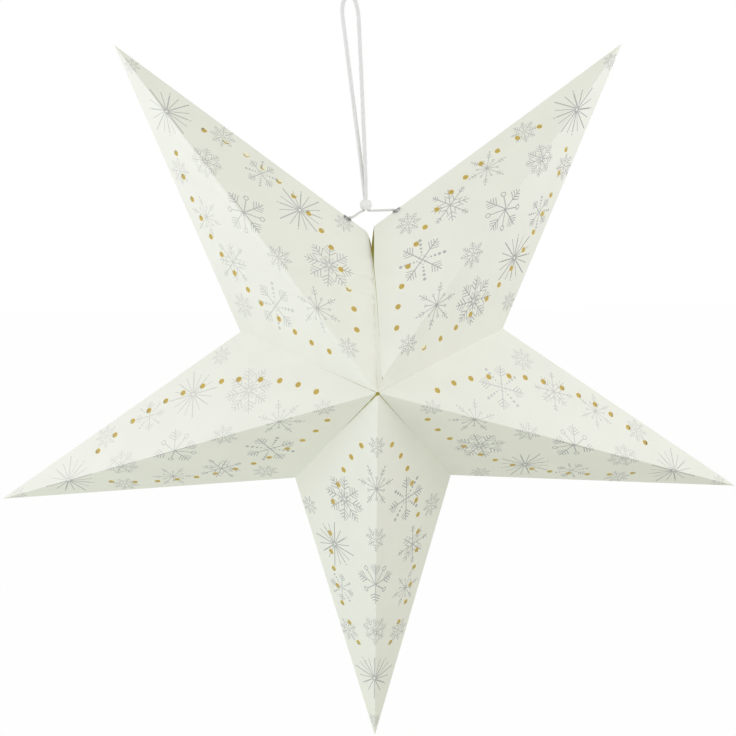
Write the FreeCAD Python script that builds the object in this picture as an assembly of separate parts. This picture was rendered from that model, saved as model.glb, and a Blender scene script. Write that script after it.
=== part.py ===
import FreeCAD, Part
import math
import os

Vec = FreeCAD.Vector
os.makedirs("parts", exist_ok=True)

# Five-pointed hollow paper star that folds like a fan, hung by a cord loop from its open top seam.
# Lengths are in millimetres and angles in degrees. The star is laid out about its own middle, X to the
# right, Y to the back, Z up, with turns counted clockwise from the top as seen from the front.

# Star
points = 5
tip_radius = 317.0
valley_radius = 109.2
half_depth = 97.5
seam_half_angle = 2.0

# The two sheets beside the open seam, whose corners are pulled towards the cord
seam_right_radius = 113.8
seam_right_angle = 1.1
seam_left_radius = 109.3
seam_left_angle = 1.7
seam_left_kink_share = 0.8948
seam_left_kink_angle = 0.0
seam_print_turn = 0.8

# Sheet: printed card outside, gold tissue inside
paper = 0.4
tissue = 0.1
hinge_gap = 0.25
tip_cut = 1.5
valley_cut = 0.8
apex_cut = 1.5
back_apex_cut = 2.8
back_apex_relief = 1.6
back_tip_relief = 0.3
# How far each glued valley stands open at the front apex, and the share of the valley that is open
valley_openings = [0.1, 0.45, 0.8, 0.5]
valley_open_share = 0.42

# Punched holes: along the ridge and across from it, as shares of the ridge and of the sheet's width
hole_diameter = 5.0
hole_shares = [
    (0.151, 0.183), (0.195, 0.298), (0.241, 0.388), (0.290, 0.454), (0.347, 0.520), (0.393, 0.551),
    (0.444, 0.561), (0.497, 0.549), (0.544, 0.519), (0.590, 0.472), (0.634, 0.412), (0.682, 0.323),
    (0.727, 0.209),
]
# The one disc that was never pushed out, as sheet number and hole number
kept_disc = (5, 5)

# Glue flanges inside the valleys
flange_depth = 8.0
flange_apex_gap = 26.0
flange_corner_gap = 4.0
flange_slope = 6.0
flange_sheets = 2

# Eyelets in the creases beside the seam
eyelet_right_along = 21.0
eyelet_left_along = 18.7
eyelet_bore = 4.0
eyelet_wall = 0.3
eyelet_flange_diameter = 7.0
eyelet_flange = 0.45
eyelet_rim_diameter = 5.4
eyelet_rim = 0.4
washer_diameter = 6.0
washer_thickness = 0.4
fit_gap = 0.05
notch_gap = 0.5

# Cords, knots and bead
tie_diameter = 2.2
knot_diameter = 5.0
knot_flat = 0.5
loop_diameter = 3.0
bead_x = -4.2
bead_z = 129.5
bead_diameter = 9.4
bead_end_diameter = 7.6
bead_height = 7.4
bead_bore = 6.4
loop_leg_offset = 1.6
loop_foot_below_middle = 1.4
tie_exit_out = 1.5
tie_exit_along = 0.4
tie_under_bead = 0.5
tie_end_gap = 0.25
tie_left_end_x = -4.8
tie_left_end_below = 0.3
hang_x = -15.15

# Route of the hanging loop above the bead: X, Y, Z of each corner of its straight runs
loop_left_route = [(-4.9, 1.6, 138.0), (-20.0, 0.1, 266.0), (-20.7, 0.0, 282.9)]
loop_right_route = [(-9.6, 0.0, 282.9), (-8.5, -0.2, 262.0), (-4.4, -1.5, 160.0), (-4.5, -1.6, 138.0)]
arc_share = 0.45
overrun = 5.0

sheets = 2 * points
seam_left_kink_radius = seam_left_kink_share * seam_left_radius
sheet_angle = (360.0 - 2.0 * seam_half_angle) / sheets
thickness = paper + tissue
hinge_depth = thickness + hinge_gap
hang_point = Vec(hang_x, 0, loop_left_route[-1][2] - loop_diameter / 2.0)
centre = Vec(0, 0, 0)
apex = {-1: Vec(0, -half_depth, 0), 1: Vec(0, half_depth, 0)}
point_names = ["top_right", "right", "bottom", "left", "top_left"]
valley_names = ["right_upper", "right_lower", "left_lower", "left_upper"]
face_names = {-1: "front", 1: "back"}


def turned(degrees, radius):
    """A point of the outline at a clockwise turn from the top."""
    a = math.radians(degrees)
    return Vec(radius * math.sin(a), 0, radius * math.cos(a))


def corner(number):
    """Corner of the outline: even numbers are valleys and odd ones tips."""
    if number == 0:
        return turned(seam_right_angle, seam_right_radius)
    if number == sheets:
        return turned(-seam_left_angle, seam_left_radius)
    radius = tip_radius if number % 2 else valley_radius
    return turned(seam_half_angle + sheet_angle * number, radius)


def unit(v):
    return v * (1.0 / v.Length)


def towards(a, b, length):
    return a + unit(b - a) * length


def sheet_frame(k, side):
    """Tip, valley corner, apex, outward normal, ridge direction and across direction of one face."""
    tip, valley = (corner(k + 1), corner(k)) if k % 2 == 0 else (corner(k), corner(k + 1))
    top = apex[side]
    normal = unit((tip - top).cross(valley - top))
    if normal.y * side < 0:
        normal = normal * -1.0
    along = unit(tip - top)
    across = (valley - top) - along * (valley - top).dot(along)
    return tip, valley, top, normal, along, unit(across), across.Length


def sheet_outline(k, side):
    """Corners of one face: the ridge, the tip, the crease, the valley corner and the valley."""
    tip, valley, top, normal, along, across, width = sheet_frame(k, side)
    cut = apex_cut if side < 0 else back_apex_cut
    low, low_radius, extra = valley, valley_radius, []
    if k == 0:
        low_radius = seam_right_radius
    if k == sheets - 1:
        low, low_radius = turned(-seam_left_kink_angle, seam_left_kink_radius), seam_left_kink_radius
        low.y = (normal.dot(top) - normal.dot(low)) / normal.y
        extra = [low]
    foot = top + (low - top) * (cut / low_radius)
    if side < 0:
        start, end = top + (tip - top) * (cut / tip_radius), towards(tip, top, tip_cut)
    else:
        start = top + along * (foot - top).dot(along) + across * back_apex_relief
        end = towards(tip, top, tip_cut) + across * back_tip_relief
    if side < 0 and 0 < k < sheets - 1:
        edge = unit(valley - top)
        foot = foot + unit(along - edge * along.dot(edge)) * (valley_openings[(k - 1) // 2] / 2.0)
        extra = [top + (valley - top) * valley_open_share]
    outline = [start, end, towards(tip, valley, tip_cut), towards(valley, tip, valley_cut)]
    if k < sheets - 1:
        outline.append(towards(valley, top, valley_cut))
    return outline + extra + [foot], normal


def slab(outline, normal, outer, inner):
    """Solid between two depths under a face, with every edge running towards the star's middle."""
    plane = normal.dot(outline[0])
    rings = []
    for depth in (outer, inner):
        share = (plane - depth) / plane
        rings.append([p * share for p in outline])
    count = len(outline)
    faces = [Part.Face(Part.makePolygon(r + r[:1])) for r in rings]
    for i in range(count):
        j = (i + 1) % count
        quad = [rings[0][i], rings[0][j], rings[1][j], rings[1][i], rings[0][i]]
        faces.append(Part.Face(Part.makePolygon(quad)))
    solid = Part.Solid(Part.Shell(faces))
    if solid.Volume < 0:
        solid.reverse()
    return solid


def hole_places(k, side):
    tip, valley, top, normal, along, across, width = sheet_frame(k, side)
    length = (tip - top).Length
    places = []
    for i, (s, w) in enumerate(hole_shares):
        if side < 0 and (k, i) == kept_disc:
            continue
        p = top + along * (s * length) + across * (w * width)
        if k in (0, sheets - 1):
            a = math.radians(seam_print_turn)
            d = p - tip
            x, y = -d.dot(along), d.dot(across)
            p = tip - along * (x * math.cos(a) - y * math.sin(a)) + across * (x * math.sin(a) + y * math.cos(a))
        places.append(p)
    return places


def eyelet_place(k):
    """Where an eyelet crosses the crease beside the seam: place, outward and towards the valley corner."""
    tip, valley = sheet_frame(k, -1)[:2]
    to_valley = unit(valley - tip)
    out = Vec(-to_valley.z, 0, to_valley.x)
    if out.dot(valley) < 0:
        out = out * -1.0
    along = eyelet_right_along if k == 0 else eyelet_left_along
    return valley - to_valley * along, out, to_valley


def face_sheets(k, side):
    outline, normal = sheet_outline(k, side)
    card = slab(outline, normal, 0.0, paper)
    lining = slab(outline, normal, paper, thickness)
    bits = []
    for p in hole_places(k, side):
        bits.append(Part.makeCylinder(hole_diameter / 2.0, 2.0 * overrun, p + normal * overrun, normal * -1.0))
    card = card.cut(Part.makeCompound(bits))
    if k in (0, sheets - 1):
        place, out, to_valley = eyelet_place(k)
        barrel = eyelet_bore / 2.0 + eyelet_wall
        slope = math.acos(abs(normal.dot(out)))
        notch = Part.makeCylinder(barrel / math.cos(slope) + notch_gap, 2.0 * overrun,
                                  place + normal * overrun, normal * -1.0)
        card, lining = card.cut(notch), lining.cut(notch)
    return card.Solids[0], lining.Solids[0]


def flange(v, side):
    """Two glued sheet edges standing inwards along one valley, as one flat tab."""
    valley, top = corner(2 * (v + 1)), apex[side]
    normal = sheet_frame(2 * v + 1, side)[3]
    share = 1.0 - (thickness + hinge_gap) / normal.dot(top)
    a, b = top * share, valley * share
    edge = unit(b - a)
    down = unit(centre - a - edge * edge.dot(centre - a))
    sideways = unit(edge.cross(down))
    length = (b - a).Length
    shape = [
        (flange_apex_gap, 0.0), (length - flange_corner_gap, 0.0),
        (length - flange_corner_gap - flange_depth - flange_slope, flange_depth),
        (flange_apex_gap + flange_slope, flange_depth),
    ]
    half = flange_sheets * paper / 2.0
    ring = [a + edge * x + down * y - sideways * half for x, y in shape]
    face = Part.Face(Part.makePolygon(ring + ring[:1]))
    return face.extrude(sideways * (2.0 * half))


def revolved(profile, place, axis):
    """Turn a closed profile of (radius, height) about an axis through a place."""
    ring = [Vec(r, 0, h) for r, h in profile]
    solid = Part.Face(Part.makePolygon(ring + ring[:1])).revolve(centre, Vec(0, 0, 1), 360)
    turn = FreeCAD.Rotation(Vec(0, 0, 1), axis)
    solid.Placement = FreeCAD.Placement(place, turn)
    return solid


def crease_depths(k):
    """Depths below the crease of the washer's top, the rim's top and the rim's end."""
    place, out, to_valley = eyelet_place(k)
    normal = sheet_frame(k, -1)[3]
    slope = math.acos(abs(normal.dot(out)))
    washer = washer_diameter / 2.0 * math.tan(slope) + thickness / math.cos(slope) + fit_gap
    return washer, washer + washer_thickness, washer + washer_thickness + eyelet_rim


def eyelet(k):
    place, out, to_valley = eyelet_place(k)
    bore, barrel = eyelet_bore / 2.0, eyelet_bore / 2.0 + eyelet_wall
    washer_top, rim_top, rim_end = crease_depths(k)
    edge = eyelet_flange / 3.0
    wide, rim = eyelet_flange_diameter / 2.0, eyelet_rim_diameter / 2.0
    profile = [
        (bore, -rim_end), (rim, -rim_end), (rim, -rim_top), (barrel, -rim_top), (barrel, 0.0), (wide, 0.0),
        (wide, edge), (wide - edge, 2.0 * edge), (barrel, eyelet_flange), (bore + edge, eyelet_flange),
        (bore, 2.0 * edge),
    ]
    return revolved(profile, place, out)


def washer(k):
    place, out, to_valley = eyelet_place(k)
    washer_top, rim_top, rim_end = crease_depths(k)
    inside = eyelet_bore / 2.0 + eyelet_wall + fit_gap
    profile = [(inside, -rim_top), (washer_diameter / 2.0, -rim_top), (washer_diameter / 2.0, -washer_top),
               (inside, -washer_top)]
    return revolved(profile, place, out)


def tie_start(k):
    """Where the tie cord leaves its knot, and the point just outside the eyelet where it turns."""
    place, out, to_valley = eyelet_place(k)
    return place - out * crease_depths(k)[2], place + out * tie_exit_out + to_valley * tie_exit_along


def knot(k):
    start, outside = tie_start(k)
    radius, ahead = knot_diameter / 2.0, unit(outside - start)
    ball = Part.makeSphere(radius, start - ahead * (radius - knot_flat))
    return ball.cut(Part.makeCylinder(2.0 * radius, 2.0 * radius, start, ahead))


def cord_path(route, name):
    """Straight runs joined by tangent arcs, each as large as its two runs allow."""
    p = [Vec(*q) if isinstance(q, tuple) else q for q in route]
    edges, last = [], p[0]
    for i in range(1, len(p) - 1):
        a, b = unit(p[i - 1] - p[i]), unit(p[i + 1] - p[i])
        half = (math.pi - a.getAngle(b)) / 2.0
        back = arc_share * min((p[i - 1] - p[i]).Length, (p[i + 1] - p[i]).Length)
        radius = back / math.tan(half)
        first, then = p[i] + a * back, p[i] + b * back
        middle = p[i] + unit(a + b) * (radius / math.cos(half) - radius)
        edges.append(Part.LineSegment(last, first).toShape())
        edges.append(Part.Arc(first, middle, then).toShape())
        last = then
        print("%s arc %d radius %.1f" % (name, i, radius))
    edges.append(Part.LineSegment(last, p[-1]).toShape())
    return Part.Wire(edges)


def cord(route, diameter, name):
    path = cord_path(route, name)
    first = path.Edges[0]
    start, ahead = first.Vertexes[0].Point, first.tangentAt(first.FirstParameter)
    ring = Part.Wire([Part.Circle(start, ahead, diameter / 2.0).toShape()])
    solid = path.makePipeShell([ring], True, False)
    expected = math.pi * (diameter / 2.0) ** 2 * path.Length
    print("%s length %.1f volume %.4f of section times length" % (name, path.Length, solid.Volume / expected))
    return solid


def bead():
    half, bore = bead_height / 2.0, bead_bore / 2.0
    end, wide = bead_end_diameter / 2.0, bead_diameter / 2.0
    outer = Part.Arc(Vec(end, 0, -half), Vec(wide, 0, 0), Vec(end, 0, half)).toShape()
    rest = Part.makePolygon([Vec(end, 0, half), Vec(bore, 0, half), Vec(bore, 0, -half), Vec(end, 0, -half)])
    solid = Part.Face(Part.Wire([outer] + rest.Edges)).revolve(centre, Vec(0, 0, 1), 360)
    solid.translate(Vec(bead_x, 0, bead_z))
    return solid


def tie(k):
    """Cord from the knot, out through the eyelet and across to the bead."""
    low = bead_z - bead_height / 2.0 - tie_diameter / 2.0 - tie_under_bead
    if k == 0:
        inside_bore = bead_bore / 2.0 - tie_diameter / 2.0
        last = [(bead_x + inside_bore / 2.0, 0.0, low), (bead_x, 0.0, bead_z - loop_foot_below_middle - tie_end_gap)]
    else:
        last = [(tie_left_end_x, 0.0, low + tie_left_end_below)]
    return cord(list(tie_start(k)) + [Vec(*q) for q in last], tie_diameter, "tie %d" % k)


def hanging_loop():
    foot = bead_z - loop_foot_below_middle
    route = [(bead_x, loop_leg_offset, foot)] + loop_left_route + loop_right_route
    route.append((bead_x, -loop_leg_offset, foot))
    return cord(route, loop_diameter, "loop")


made = {}
for k in range(sheets):
    for side in (-1, 1):
        name = "%s_%s_%s" % (point_names[k // 2], face_names[side], "ab"[k % 2])
        made[name], made[name + "_lining"] = face_sheets(k, side)
for v in range(points - 1):
    for side in (-1, 1):
        made["valley_%s_%s_flange" % (valley_names[v], face_names[side])] = flange(v, side)
for k, name in ((0, "right"), (sheets - 1, "left")):
    made["eyelet_" + name] = eyelet(k)
    made["washer_" + name] = washer(k)
    made["knot_" + name] = knot(k)
    made["tie_cord_" + name] = tie(k)
made["bead"] = bead()
made["hanging_loop"] = hanging_loop()

for name, shape in made.items():
    shape.translate(hang_point * -1.0)
    if not shape.isValid() or len(shape.Solids) != 1:
        print("check", name, shape.isValid(), len(shape.Solids))
    shape.exportStep("parts/%s.step" % name)
print(len(made), "pieces")
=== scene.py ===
import bmesh
import bpy
import math
import numpy as np
from mathutils import Matrix, Vector
from mathutils.geometry import delaunay_2d_cdt


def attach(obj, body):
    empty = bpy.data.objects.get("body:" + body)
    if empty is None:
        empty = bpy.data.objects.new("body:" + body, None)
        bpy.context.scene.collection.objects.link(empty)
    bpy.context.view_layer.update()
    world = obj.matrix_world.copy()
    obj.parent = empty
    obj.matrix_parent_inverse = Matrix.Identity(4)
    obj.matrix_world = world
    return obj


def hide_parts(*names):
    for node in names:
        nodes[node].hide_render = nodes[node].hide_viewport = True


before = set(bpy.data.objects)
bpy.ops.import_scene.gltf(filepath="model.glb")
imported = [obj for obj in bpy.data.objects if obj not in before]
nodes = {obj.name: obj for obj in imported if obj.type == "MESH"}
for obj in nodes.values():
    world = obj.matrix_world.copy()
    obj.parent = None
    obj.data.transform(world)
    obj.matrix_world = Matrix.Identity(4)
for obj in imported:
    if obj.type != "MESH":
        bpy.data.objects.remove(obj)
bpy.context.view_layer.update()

# Folded paper star, hung by a braided loop. Lengths here are in millimetres and turned to metres once.
MM = 0.001
STAR_MIDDLE = Vector((15.15, 0.0, -281.4))
TIP_RADIUS, VALLEY_RADIUS, HALF_DEPTH = 317.0, 109.2, 97.5
# The open seam: half its angle, the outline corner on each side as turn and radius, and the turn of its print
SEAM_HALF_ANGLE = 2.0
SEAM_RIGHT, SEAM_LEFT = (1.1, 113.8), (-1.7, 109.3)
SEAM_PRINT_TURN = 0.8
CARD, TISSUE_THICK = 0.4, 0.1
# A punched hole, and how far out the rings are over which its pale edge fades
HOLE_RADIUS, HOLE_RINGS = 2.35, (0.35, 1.0)
HOLE_SIDES, RING_SIDES = 28, 20
# The card's radius at its folds, and half of the angle between the faces at a ridge and at an outline crease
FOLD_RADIUS, RIDGE_HALF, CREASE_HALF = 0.4, math.radians(43.5), math.radians(49.0)
FOLD_STEPS = 3
POINT_NAMES = ["top_right", "right", "bottom", "left", "top_left"]
FACES = 2 * len(POINT_NAMES)


# Small helpers for meshes and node trees
def placed(name, data):
    """A new object in the scene that shows this data."""
    piece = bpy.data.objects.new(name, data)
    bpy.context.scene.collection.objects.link(piece)
    return piece


def mesh_piece(name, verts, faces, material=None, smooth=False):
    mesh = bpy.data.meshes.new(name)
    mesh.from_pydata([tuple(v) for v in verts], [], faces)
    mesh.update()
    if material:
        mesh.materials.append(material)
    mesh.polygons.foreach_set("use_smooth", [smooth] * len(mesh.polygons))
    return placed(name, mesh)


def add_node(tree, kind, inputs=None, **settings):
    """One node, with its settings, and its inputs filled by a value or linked from a socket."""
    node = tree.nodes.new(kind)
    for key, value in settings.items():
        setattr(node, key, value)
    for key, value in (inputs or {}).items():
        if isinstance(value, bpy.types.NodeSocket):
            tree.links.new(value, node.inputs[key])
        else:
            node.inputs[key].default_value = value
    return node


def maths(tree, operation, a, b=None, c=None, clamp=False):
    given = {i: v for i, v in enumerate((a, b, c)) if v is not None}
    return add_node(tree, "ShaderNodeMath", given, operation=operation, use_clamp=clamp).outputs[0]


def geometry_tree(name, inputs):
    tree = bpy.data.node_groups.new(name, "GeometryNodeTree")
    tree.interface.new_socket("Geometry", in_out="INPUT", socket_type="NodeSocketGeometry")
    for kind, labels in inputs.items():
        for label in labels:
            tree.interface.new_socket(label, in_out="INPUT", socket_type="NodeSocket" + kind)
    tree.interface.new_socket("Geometry", in_out="OUTPUT", socket_type="NodeSocketGeometry")
    return tree, tree.nodes.new("NodeGroupInput").outputs, tree.nodes.new("NodeGroupOutput").inputs


def finished_mesh(source):
    """The plain mesh that an object comes to, with its modifiers."""
    graph = bpy.context.evaluated_depsgraph_get()
    return bpy.data.meshes.new_from_object(source.evaluated_get(graph), depsgraph=graph)


def grown(source, tree, values, name):
    """The plain mesh that a geometry tree makes from a source object, as a new piece at the origin."""
    modifier = source.modifiers.new(tree.name, "NODES")
    modifier.node_group = tree
    for item in tree.interface.items_tree:
        if item.in_out == "INPUT" and item.name in values:
            modifier[item.identifier] = values[item.name]
    source.update_tag()
    mesh = finished_mesh(source)
    source.modifiers.remove(modifier)
    mesh.name = name
    return placed(name, mesh)


def drop(piece):
    data = piece.data
    bpy.data.objects.remove(piece)
    if isinstance(data, bpy.types.Mesh):
        bpy.data.meshes.remove(data)
    else:
        bpy.data.curves.remove(data)


# Finishes
def grain_group():
    """Paper or cloth grain: fine fibres and a slow mottle, as a tone near 1 and a height."""
    group = bpy.data.node_groups.new("grain", "ShaderNodeTree")
    sockets = group.interface
    sockets.new_socket("Place", in_out="INPUT", socket_type="NodeSocketVector")
    for label in ("Fibre scale", "Mottle scale", "Tone depth"):
        sockets.new_socket(label, in_out="INPUT", socket_type="NodeSocketFloat")
    for label in ("Tone", "Height"):
        sockets.new_socket(label, in_out="OUTPUT", socket_type="NodeSocketFloat")
    source, sink = group.nodes.new("NodeGroupInput").outputs, group.nodes.new("NodeGroupOutput").inputs
    fibre = add_node(group, "ShaderNodeTexNoise", {
        "Vector": source["Place"], "Scale": source["Fibre scale"], "Detail": 6.0, "Roughness": 0.65})
    mottle = add_node(group, "ShaderNodeTexNoise", {
        "Vector": source["Place"], "Scale": source["Mottle scale"], "Detail": 2.0})
    both = maths(group, "MULTIPLY_ADD", fibre.outputs[0], 0.35, maths(group, "MULTIPLY", mottle.outputs[0], 0.65))
    centred = maths(group, "SUBTRACT", both, 0.5)
    group.links.new(maths(group, "MULTIPLY_ADD", centred, source["Tone depth"], 1.0), sink["Tone"])
    group.links.new(fibre.outputs[0], sink["Height"])
    return group


GRAIN = grain_group()


def finish(name, colour, roughness, metallic=0.0):
    material = bpy.data.materials.new(name)
    material.use_nodes = True
    material.diffuse_color = (*colour, 1.0)
    shader = material.node_tree.nodes["Principled BSDF"]
    shader.inputs["Base Color"].default_value = (*colour, 1.0)
    shader.inputs["Roughness"].default_value = roughness
    shader.inputs["Metallic"].default_value = metallic
    return material, material.node_tree, shader


def place_on(tree):
    """Where a point is on its piece."""
    return tree.nodes.new("ShaderNodeTexCoord").outputs["Object"]


def grained(tree, place, fibre, mottle, depth):
    """The grain's tone and height, at these scales and this depth of tone."""
    values = {"Place": place, "Fibre scale": fibre, "Mottle scale": mottle, "Tone depth": depth}
    grain = add_node(tree, "ShaderNodeGroup", values, node_tree=GRAIN).outputs
    return grain["Tone"], grain["Height"]


def bumped(tree, shader, height, strength, distance):
    bump = add_node(tree, "ShaderNodeBump", {"Height": height, "Strength": strength, "Distance": distance})
    tree.links.new(bump.outputs[0], shader.inputs["Normal"])


def tinted(tree, colour, tone):
    """A colour made lighter or darker by a tone near 1."""
    return add_node(tree, "ShaderNodeVectorMath", {0: colour, 1: tone}, operation="MULTIPLY").outputs[0]


def mixed(tree, factor, a, b):
    return add_node(tree, "ShaderNodeMix", {0: factor, 6: a, 7: b}, data_type="RGBA").outputs[2]


def card_finish(name, colour, printed):
    """Matt ivory card. The printed side reads the masks that its sheet carries."""
    material, tree, shader = finish(name, colour, 0.82)
    place = place_on(tree)
    tone, height = grained(tree, place, 1600.0, 38.0, 0.10)
    paper = tinted(tree, colour, tone)
    if printed:
        ink, fringe, cut = (add_node(tree, "ShaderNodeAttribute", attribute_name=mask).outputs["Fac"]
                            for mask in ("ink", "fringe", "cut"))
        flecks = add_node(tree, "ShaderNodeTexNoise", {"Vector": place, "Scale": 2600.0, "Detail": 2.0}).outputs[0]
        silver = mixed(tree, flecks, (0.34, 0.35, 0.335, 1.0), (0.54, 0.55, 0.53, 1.0))
        edge = mixed(tree, maths(tree, "MULTIPLY", fringe, 0.7), paper, (0.95, 0.90, 0.60, 1.0))
        # The kept disc's cut line: dark grey painted shade standing for the shadow in its slit
        edge = mixed(tree, cut, edge, (0.42, 0.43, 0.38, 1.0))
        paper = mixed(tree, ink, edge, silver)
        tree.links.new(maths(tree, "MULTIPLY", ink, 0.8), shader.inputs["Metallic"])
        tree.links.new(maths(tree, "MULTIPLY_ADD", ink, -0.32, 0.82), shader.inputs["Roughness"])
    tree.links.new(paper, shader.inputs["Base Color"])
    bumped(tree, shader, height, 0.12, 0.00005)
    shader.inputs["Specular IOR Level"].default_value = 0.25
    return material


def tissue_finish():
    """Crinkled gold tissue."""
    colour = (0.58, 0.415, 0.09)
    material, tree, shader = finish("gold_tissue", colour, 0.55)
    place = place_on(tree)
    tone, _ = grained(tree, place, 900.0, 160.0, 0.5)
    tree.links.new(tinted(tree, colour, tone), shader.inputs["Base Color"])
    crinkle = add_node(tree, "ShaderNodeTexVoronoi", {"Vector": place, "Scale": 220.0}, feature="DISTANCE_TO_EDGE")
    bumped(tree, shader, crinkle.outputs[0], 0.35, 0.0002)
    return material


def marked_finish(name, colour, roughness, metallic, scale, detail, dark, light, spread):
    """Stamped metal or moulded plastic: its tone and its gloss both follow the same fine marks."""
    material, tree, shader = finish(name, colour, roughness, metallic)
    marks = add_node(tree, "ShaderNodeTexNoise", {
        "Vector": place_on(tree), "Scale": scale, "Detail": detail}).outputs[0]
    tree.links.new(mixed(tree, marks, (*dark, 1.0), (*light, 1.0)), shader.inputs["Base Color"])
    tree.links.new(maths(tree, "MULTIPLY_ADD", marks, spread, spread), shader.inputs["Roughness"])
    return material


def yarn_finish(name, dark, light, roughness, metallic=0.0):
    """Spun yarn: fine filaments, seen as streaks of tone and a soft height."""
    material, tree, shader = finish(name, light, roughness, metallic)
    _, height = grained(tree, place_on(tree), 3800.0, 300.0, 1.0)
    tree.links.new(mixed(tree, height, (*dark, 1.0), (*light, 1.0)), shader.inputs["Base Color"])
    bumped(tree, shader, height, 0.4, 0.0001)
    return material


IVORY = (0.87, 0.88, 0.80)
PRINTED_CARD = card_finish("printed_card", IVORY, True)
PLAIN_CARD = card_finish("plain_card", IVORY, False)
TISSUE = tissue_finish()
METAL = marked_finish(
    "eyelet_metal", (0.36, 0.36, 0.35), 0.4, 1.0, 1400.0, 4.0, (0.28, 0.28, 0.27), (0.44, 0.44, 0.43), 0.25)
BEAD = marked_finish(
    "bead_plastic", (0.86, 0.86, 0.84), 0.3, 0.0, 420.0, 3.0, (0.82, 0.82, 0.80), (0.90, 0.90, 0.88), 0.2)
WHITE_YARN = yarn_finish("white_yarn", (0.76, 0.77, 0.75), (0.92, 0.92, 0.91), 0.75)
SILVER_YARN = yarn_finish("silver_yarn", (0.60, 0.60, 0.59), (0.95, 0.95, 0.94), 0.3, 0.8)
TIE_YARN = yarn_finish("tie_yarn", (0.68, 0.69, 0.67), (0.90, 0.90, 0.89), 0.8)


def dress(name, material):
    """A better finish on a CAD piece whose shape stays."""
    mesh = nodes[name].data
    mesh.materials.clear()
    mesh.materials.append(material)


# The star's own places
def outline_corner(number):
    if number == 0:
        turn, radius = SEAM_RIGHT
    elif number == FACES:
        turn, radius = SEAM_LEFT
    else:
        turn = SEAM_HALF_ANGLE + (360.0 - 2.0 * SEAM_HALF_ANGLE) / FACES * number
        radius = TIP_RADIUS if number % 2 else VALLEY_RADIUS
    a = math.radians(turn)
    return STAR_MIDDLE + Vector((radius * math.sin(a), 0.0, radius * math.cos(a)))


class Face:
    """One flat face: its apex, the way along the ridge, across from it and outwards."""

    def __init__(self, number, side):
        self.number, self.side = number, side
        self.name = "%s_%s_%s" % (POINT_NAMES[number // 2], "front" if side < 0 else "back", "ab"[number % 2])
        ends = outline_corner(number), outline_corner(number + 1)
        self.valley, self.tip = ends if number % 2 == 0 else ends[::-1]
        self.apex = STAR_MIDDLE + Vector((0.0, side * HALF_DEPTH, 0.0))
        self.along = (self.tip - self.apex).normalized()
        self.length = (self.tip - self.apex).length
        across = (self.valley - self.apex) - self.along * (self.valley - self.apex).dot(self.along)
        self.width = across.length
        self.across = across.normalized()
        self.out = self.along.cross(self.across)
        if self.out.y * side < 0:
            self.out = -self.out
        self.corner, self.tip_corner = (Vector(self.flat(p * MM)[:2]) for p in (self.valley, self.tip))
        crease = (self.tip_corner - self.corner).normalized()
        self.inwards = Vector((crease.y, -crease.x))
        if self.inwards.y > 0:
            self.inwards = -self.inwards

    def flat(self, place):
        """Distances along the ridge and across from it of a place in metres."""
        p = place / MM - self.apex
        return p.dot(self.along), p.dot(self.across), p.dot(self.out)

    def place(self, s, u, depth=0.0):
        return (self.apex + self.along * s + self.across * u - self.out * depth) * MM

    def drawn(self, x, z):
        """How far along the ridge and across from it a step on the face goes that is x, z in the front view."""
        step = Vector((x, -(x * self.out.x + z * self.out.z) / self.out.y, z))
        return Vector((step.dot(self.along), step.dot(self.across)))


def card_loops(face):
    """Closed outlines of the card's outer side, as its CAD sheet has them."""
    work = bmesh.new()
    work.from_mesh(nodes[face.name].data)
    bmesh.ops.remove_doubles(work, verts=work.verts, dist=1e-6)
    outer = {f for f in work.faces if all(abs(face.flat(v.co)[2]) < 0.02 for v in f.verts)}
    follow = {}
    for edge in work.edges:
        if len([f for f in edge.link_faces if f in outer]) == 1:
            a, b = edge.verts
            follow.setdefault(a, []).append(b)
            follow.setdefault(b, []).append(a)
    loops = []
    while follow:
        start = next(iter(follow))
        loop, here = [start], start
        while follow.get(here):
            there = follow[here].pop()
            follow[there].remove(here)
            if there is start:
                break
            loop.append(there)
            here = there
        for v in loop:
            if not follow.get(v):
                follow.pop(v, None)
        loops.append([Vector(face.flat(v.co)[:2]) for v in loop])
    work.free()
    return loops


def loop_area(loop):
    return sum(a.x * b.y - b.x * a.y for a, b in zip(loop, loop[1:] + loop[:1])) / 2.0


def inside(loop, x, y):
    """Which of many places lie inside a closed line."""
    found = np.zeros(len(x), dtype=bool)
    for a, b in zip(loop, loop[1:] + loop[:1]):
        if a.y != b.y:
            spans = (a.y > y) != (b.y > y)
            found ^= spans & (x < (b.x - a.x) * (y - a.y) / (b.y - a.y) + a.x)
    return found


# Snowflakes: an arm drawn as strokes, dots and rings, then repeated around the middle
def stroke(x0, y0, x1, y1, width):
    a, b = Vector((x0, y0)), Vector((x1, y1))
    side = (b - a).normalized().orthogonal() * (width / 2.0)
    return [[a - side, b - side, b + side, a + side]]


def dot(x, radius, count=12):
    turns = (2 * math.pi * i / count for i in range(count))
    return [[Vector((x + radius * math.cos(a), radius * math.sin(a))) for a in turns]]


def ring(x, radius, width, count=12):
    parts, corners = [], ((radius, 0), (radius, 1), (radius - width, 1), (radius - width, 0))
    for i in range(count):
        turned = [(r, 2 * math.pi * (i + j) / count) for r, j in corners]
        parts.append([Vector((x + r * math.cos(a), r * math.sin(a))) for r, a in turned])
    return parts


def barbs(places, width, angle=48.0):
    """Pairs of slanting barbs, each given as its place on the arm and its length."""
    parts, a = [], math.radians(angle)
    for x, length in places:
        for side in (1, -1):
            parts += stroke(x, 0.0, x + length * math.cos(a), side * length * math.sin(a), width)
    return parts


def ray(turn, reach, width, ended=0.0):
    """One ray of a burst, with a dot beyond it where ended gives the dot's radius."""
    around = Matrix.Rotation(math.radians(turn), 2)
    parts = stroke(0.05, 0.0, reach - 2.5 * ended, 0.0, width) + (dot(reach, ended) if ended else [])
    return [[around @ p for p in part] for part in parts]


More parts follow.
